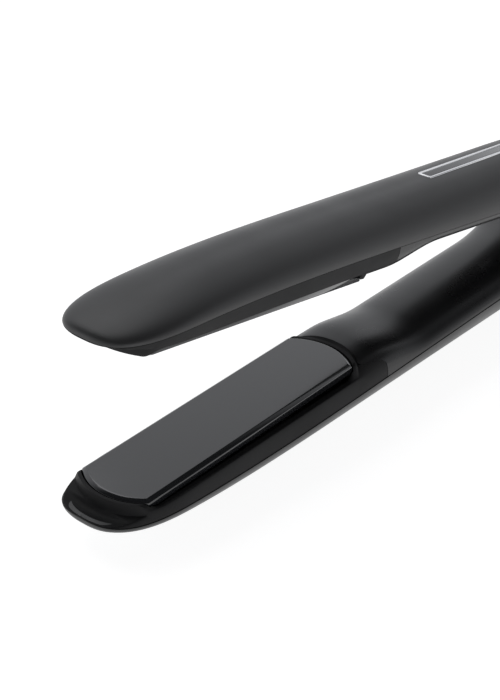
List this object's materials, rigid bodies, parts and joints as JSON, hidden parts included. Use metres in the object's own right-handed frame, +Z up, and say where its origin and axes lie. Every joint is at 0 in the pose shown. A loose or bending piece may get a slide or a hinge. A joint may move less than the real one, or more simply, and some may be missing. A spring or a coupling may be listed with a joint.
{
  "type": "flat iron",
  "caption": "Hand-held hair straightener with two hinged arms, floating heated plates, inner-face buttons and a swivelling cord inlet, lying open on its lower arm.",
  "frame": {"origin": "middle of the flat rest land on the crown of the lower shell, 100 mm from the hinge axis", "axes": "+X along the lower arm towards the tips, +Y across the arm parallel to the hinge axis, +Z up from the table"},
  "size_m": [0.283, 0.0346, 0.074],
  "materials": {
    "soft_touch": "soft-touch matte black lacquer over moulded plastic",
    "housing": "heat-resistant glass-filled plastic, fine matte",
    "cover": "satin black plastic",
    "frame": "glass-filled nylon",
    "steel": "ground steel",
    "spring_steel": "bright spring wire",
    "cap": "gloss black cap",
    "plate": "gloss dark grey ceramic coating on aluminium",
    "ceramic": "white alumina strip",
    "silicone": "red-brown silicone rubber",
    "board": "green solder mask",
    "component": "black moulded component",
    "capacitor": "blue sleeve",
    "terminal": "ivory nylon",
    "button_metal": "satin chrome",
    "button_black": "gloss black",
    "brass": "bright brass",
    "chrome": "bright chrome",
    "smoke": "gloss smoke grey window",
    "led": "clear lens",
    "sensor": "glass and ceramic beads",
    "gland": "black flexible plastic"
  },
  "bodies": {
    "lower_arm": {"lower_shell": "soft_touch", "lower_plate_housing": "housing", "lower_handle_cover": "cover", "lower_hinge_frame": "frame", "hinge_pin": "steel", "hinge_cap_left": "cap", "hinge_cap_right": "cap", "arm_spring": "spring_steel", "lower_cushions": "silicone", "lower_cover_screws": "steel", "power_board": "board", "board_screws": "steel", "filter_capacitor": "capacitor", "power_triac": "component", "lead_terminal": "terminal", "brush_contacts": "brass"},
    "upper_arm": {"upper_shell": "soft_touch", "upper_plate_housing": "housing", "upper_handle_cover": "cover", "upper_hinge_frame": "frame", "upper_cushions": "silicone", "upper_cover_screws": "steel", "trim_bezel": "chrome", "trim_inlay": "smoke", "indicator_board": "board", "indicator_leds": "led", "indicator_screws": "steel", "control_board": "board", "tact_switches": "component"},
    "lower_floating_plate": {"lower_plate": "plate", "lower_heater": "ceramic", "lower_heater_clip": "spring_steel", "lower_heat_sensors": "sensor", "lower_plate_screws": "steel"},
    "upper_floating_plate": {"upper_plate": "plate", "upper_heater": "ceramic", "upper_heater_clip": "spring_steel", "upper_heat_sensors": "sensor", "upper_plate_screws": "steel"},
    "power_button": {"power_button": "button_metal"},
    "temp_up_button": {"temp_up_button": "button_black"},
    "temp_down_button": {"temp_down_button": "button_black"},
    "cord_swivel": {"swivel_gland": "gland", "swivel_clip": "spring_steel", "slip_rings": "brass"}
  },
  "joints": [
    {"name": "arm_hinge", "type": "hinge", "parent": "lower_arm", "child": "upper_arm", "pos_m": [-0.09911, 0, 0.02573], "axis": [0, 1, 0], "range_deg": [0, 10.95], "stiffness_Nm_per_rad": 3, "springref_deg": -8.59, "deforming": ["arm_spring"]},
    {"name": "lower_plate_float", "type": "slide", "parent": "lower_arm", "child": "lower_floating_plate", "axis": [0.0372, 0, 0.9993], "range_m": [-0.0006, 0], "stiffness_N_per_m": 5000, "springref_m": 0.0003, "deforming": ["lower_cushions"]},
    {"name": "upper_plate_float", "type": "slide", "parent": "upper_arm", "child": "upper_floating_plate", "axis": [0.1533, 0, -0.9882], "range_m": [-0.0006, 0], "stiffness_N_per_m": 5000, "springref_m": 0.0003, "deforming": ["upper_cushions"]},
    {"name": "power_press", "type": "slide", "parent": "upper_arm", "child": "power_button", "axis": [-0.1533, 0, 0.9882], "range_m": [0, 0.0006], "stiffness_N_per_m": 1500, "springref_m": -0.0004},
    {"name": "temp_up_press", "type": "slide", "parent": "upper_arm", "child": "temp_up_button", "axis": [-0.1533, 0, 0.9882], "range_m": [0, 0.0006], "stiffness_N_per_m": 1500, "springref_m": -0.0004},
    {"name": "temp_down_press", "type": "slide", "parent": "upper_arm", "child": "temp_down_button", "axis": [-0.1533, 0, 0.9882], "range_m": [0, 0.0006], "stiffness_N_per_m": 1500, "springref_m": -0.0004},
    {"name": "cord_swivel_turn", "type": "hinge", "parent": "lower_arm", "child": "cord_swivel", "pos_m": [-0.11946, 0, 0.01688], "axis": [-0.9993, 0, 0.0372], "continuous": true}
  ]
}
